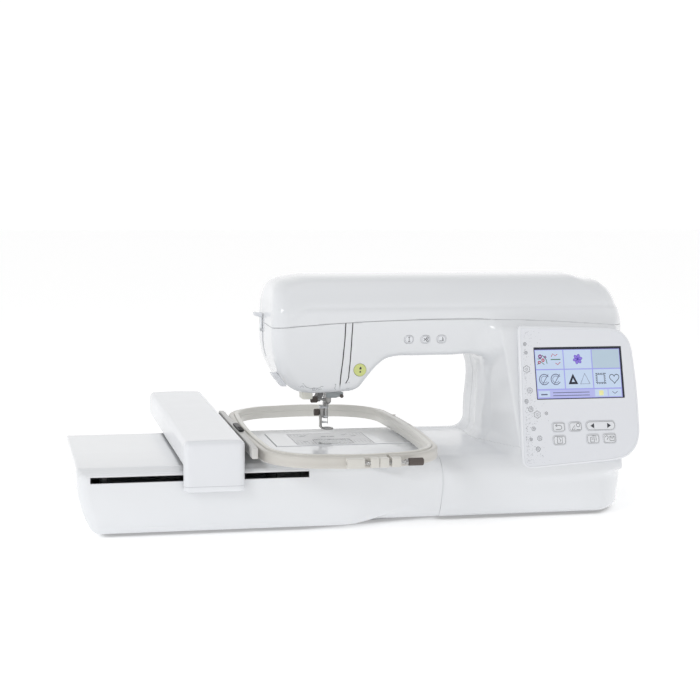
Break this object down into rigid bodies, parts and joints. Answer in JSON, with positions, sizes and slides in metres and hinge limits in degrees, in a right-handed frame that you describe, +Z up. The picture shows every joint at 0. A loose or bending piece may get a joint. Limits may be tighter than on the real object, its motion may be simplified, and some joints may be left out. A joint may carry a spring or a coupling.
{
  "type": "embroidery machine",
  "caption": "Free-arm sewing machine with a tilted control panel and a side embroidery unit whose carriage slides an oblong hoop under the needle.",
  "frame": {"origin": "middle of the footprint of the whole machine with its embroidery unit, hoop and carriage, on the table", "axes": "+X from the embroidery unit towards the handwheel, +Y away from the person sewing, +Z up"},
  "size_m": [0.721, 0.4731, 0.3028],
  "materials": {
    "white_gloss": "glossy moulded shell",
    "grey_matt": "fine matt texture",
    "hoop_grey": "satin grey-beige",
    "black_matt": "satin black",
    "steel": "polished and turned",
    "castings": "as cast",
    "motor_metal": "satin dark grey",
    "belt_rubber": "matt",
    "bobbin_clear": "clear plastic",
    "case_black": "dark taupe, satin",
    "lamp_clear": "milky diffuser",
    "cutter_grey": "moulded",
    "film": "printed film with a soft sheen",
    "display": "lit blue-lilac display",
    "key_green": "translucent yellow-green",
    "key_grey": "satin"
  },
  "bodies": {
    "machine": {"face_plate": "white_gloss", "front_casing": "white_gloss", "rear_casing": "white_gloss", "top_deck": "grey_matt", "spool_pin": "steel", "base_casing": "white_gloss", "base_floor": "grey_matt", "power_inlet": "black_matt", "free_arm_casing": "white_gloss", "needle_plate": "steel", "bobbin_case": "case_black", "cast_frame": "castings", "drive_motor": "motor_metal", "drive_belts": "belt_rubber", "thread_cutter": "cutter_grey", "lamp_cover": "lamp_clear", "panel_housing": "white_gloss", "panel_film": "film", "lcd_screen": "display", "unit_casing": "white_gloss", "unit_floor": "grey_matt", "rubber_feet": "belt_rubber", "unit_rails": "steel"},
    "lid": {"top_lid": "white_gloss"},
    "spindle": {"main_shaft": "steel", "handwheel": "white_gloss"},
    "lower_spindle": {"lower_shaft": "steel"},
    "motor_spindle": {"motor_pulley": "steel"},
    "hook": {"rotary_hook": "steel"},
    "bobbin_spool": {"bobbin": "bobbin_clear"},
    "plate_cover": {"bobbin_cover": "bobbin_clear"},
    "needle_carrier": {"needle_bar": "steel", "needle_clamp": "steel", "needle": "steel"},
    "presser": {"presser_bar": "steel", "embroidery_foot": "steel"},
    "foot_clamp": {"foot_screw": "steel"},
    "lifter": {"presser_lever": "black_matt"},
    "take_up": {"take_up_lever": "steel"},
    "threader_slider": {"threader_lever": "white_gloss"},
    "threader": {"threader_bar": "steel"},
    "winder": {"bobbin_winder": "steel"},
    "switch": {"power_switch": "black_matt"},
    "carriage": {"carriage_base": "grey_matt", "carriage_cover": "white_gloss"},
    "frame": {"frame_holder": "grey_matt", "inner_frame": "hoop_grey", "outer_frame": "hoop_grey"},
    "holder_lever": {"frame_lever": "black_matt"},
    "frame_clamp": {"frame_screw": "case_black"},
    "start_key_cap": {"start_key": "key_green"},
    "needle_key_cap": {"needle_key": "key_grey"},
    "cut_key_cap": {"cut_key": "key_grey"},
    "presser_key_cap": {"presser_key": "key_grey"},
    "panel_key_home_cap": {"panel_key_home": "key_grey"},
    "panel_key_frame_cap": {"panel_key_frame": "key_grey"},
    "panel_key_page_cap": {"panel_key_page": "key_grey"},
    "panel_key_trial_cap": {"panel_key_trial": "key_grey"},
    "panel_key_memory_cap": {"panel_key_memory": "key_grey"},
    "panel_key_help_cap": {"panel_key_help": "key_grey"}
  },
  "joints": [
    {"name": "lid_hinge", "type": "hinge", "parent": "machine", "child": "lid", "pos_m": [-0.0275, 0.0808, 0.2375], "axis": [-1, 0, 0], "range_deg": [0, 85]},
    {"name": "main_spin", "type": "hinge", "parent": "machine", "child": "spindle", "pos_m": [0.3525, 0.0145, 0.211], "axis": [1, 0, 0], "continuous": true},
    {"name": "lower_spin", "type": "hinge", "parent": "machine", "child": "lower_spindle", "pos_m": [0.0725, 0.0145, 0.05], "axis": [1, 0, 0], "continuous": true},
    {"name": "motor_spin", "type": "hinge", "parent": "machine", "child": "motor_spindle", "pos_m": [0.2725, 0.0145, 0.13], "axis": [1, 0, 0], "continuous": true},
    {"name": "hook_spin", "type": "hinge", "parent": "machine", "child": "hook", "pos_m": [-0.0275, -0.0025, 0.07], "axis": [0, 0, 1], "continuous": true},
    {"name": "bobbin_spin", "type": "hinge", "parent": "machine", "child": "bobbin_spool", "pos_m": [-0.0275, -0.0025, 0.074], "axis": [0, 0, 1], "continuous": true},
    {"name": "cover_lift", "type": "slide", "parent": "machine", "child": "plate_cover", "axis": [0, 0, 1], "range_m": [0, 0.012]},
    {"name": "needle_stroke", "type": "slide", "parent": "machine", "child": "needle_carrier", "axis": [0, 0, 1], "range_m": [-0.03, 0]},
    {"name": "presser_drop", "type": "slide", "parent": "machine", "child": "presser", "axis": [0, 0, 1], "range_m": [-0.0095, 0]},
    {"name": "foot_screw_turn", "type": "hinge", "parent": "presser", "child": "foot_clamp", "pos_m": [-0.0375, 0.0295, 0.1188], "axis": [-1, 0, 0], "range_deg": [0, 60]},
    {"name": "lifter_hinge", "type": "hinge", "parent": "machine", "child": "lifter", "pos_m": [-0.0275, 0.0485, 0.148], "axis": [-1, 0, 0], "range_deg": [0, 20]},
    {"name": "take_up_swing", "type": "hinge", "parent": "machine", "child": "take_up", "pos_m": [-0.0195, 0.0445, 0.224], "axis": [1, 0, 0], "range_deg": [0, 38]},
    {"name": "threader_lever_drop", "type": "slide", "parent": "machine", "child": "threader_slider", "axis": [0, 0, 1], "range_m": [-0.0325, 0], "stiffness_N_per_m": 40, "springref_m": 0.012},
    {"name": "threader_drop", "type": "slide", "parent": "machine", "child": "threader", "axis": [0, 0, 1], "range_m": [-0.0325, 0]},
    {"name": "winder_spin", "type": "hinge", "parent": "machine", "child": "winder", "pos_m": [0.311, 0.0345, 0.255], "axis": [0, 0, 1], "continuous": true},
    {"name": "switch_rock", "type": "hinge", "parent": "machine", "child": "switch", "pos_m": [0.3465, 0.0115, 0.044], "axis": [0, 1, 0], "range_deg": [0, 8]},
    {"name": "carriage_travel", "type": "slide", "parent": "machine", "child": "carriage", "axis": [1, 0, 0], "range_m": [-0.075, 0.072]},
    {"name": "frame_travel", "type": "slide", "parent": "carriage", "child": "frame", "axis": [0, 1, 0], "range_m": [-0.095, 0.14]},
    {"name": "holder_lever_turn", "type": "hinge", "parent": "frame", "child": "holder_lever", "pos_m": [-0.1535, -0.0185, 0.114], "axis": [0, 0, 1], "range_deg": [0, 30]},
    {"name": "frame_screw_turn", "type": "hinge", "parent": "frame", "child": "frame_clamp", "pos_m": [0.0225, -0.232, 0.1], "axis": [1, 0, 0], "continuous": true},
    {"name": "start_key_press", "type": "slide", "parent": "machine", "child": "start_key_cap", "axis": [0, 1, 0], "range_m": [0, 0.0012], "stiffness_N_per_m": 300, "springref_m": -0.0008},
    {"name": "needle_key_press", "type": "slide", "parent": "machine", "child": "needle_key_cap", "axis": [0, 1, 0], "range_m": [0, 0.0012], "stiffness_N_per_m": 300, "springref_m": -0.0008},
    {"name": "cut_key_press", "type": "slide", "parent": "machine", "child": "cut_key_cap", "axis": [0, 1, 0], "range_m": [0, 0.0012], "stiffness_N_per_m": 300, "springref_m": -0.0008},
    {"name": "presser_key_press", "type": "slide", "parent": "machine", "child": "presser_key_cap", "axis": [0, 1, 0], "range_m": [0, 0.0012], "stiffness_N_per_m": 300, "springref_m": -0.0008},
    {"name": "panel_key_home_press", "type": "slide", "parent": "machine", "child": "panel_key_home_cap", "axis": [0, 1, 0], "range_m": [0, 0.0008], "stiffness_N_per_m": 300, "springref_m": -0.0008},
    {"name": "panel_key_frame_press", "type": "slide", "parent": "machine", "child": "panel_key_frame_cap", "axis": [0, 1, 0], "range_m": [0, 0.0008], "stiffness_N_per_m": 300, "springref_m": -0.0008},
    {"name": "panel_key_page_press", "type": "slide", "parent": "machine", "child": "panel_key_page_cap", "axis": [0, 1, 0], "range_m": [0, 0.0008], "stiffness_N_per_m": 300, "springref_m": -0.0008},
    {"name": "panel_key_trial_press", "type": "slide", "parent": "machine", "child": "panel_key_trial_cap", "axis": [0, 1, 0], "range_m": [0, 0.0008], "stiffness_N_per_m": 300, "springref_m": -0.0008},
    {"name": "panel_key_memory_press", "type": "slide", "parent": "machine", "child": "panel_key_memory_cap", "axis": [0, 1, 0], "range_m": [0, 0.0008], "stiffness_N_per_m": 300, "springref_m": -0.0008},
    {"name": "panel_key_help_press", "type": "slide", "parent": "machine", "child": "panel_key_help_cap", "axis": [0, 1, 0], "range_m": [0, 0.0008], "stiffness_N_per_m": 300, "springref_m": -0.0008}
  ],
  "couplings": [
    {"joint": "lower_spin", "follows": "main_spin", "ratio": 1},
    {"joint": "motor_spin", "follows": "main_spin", "ratio": 2.75},
    {"joint": "hook_spin", "follows": "main_spin", "ratio": 2},
    {"joint": "threader_drop", "follows": "threader_lever_drop", "ratio": 1}
  ]
}
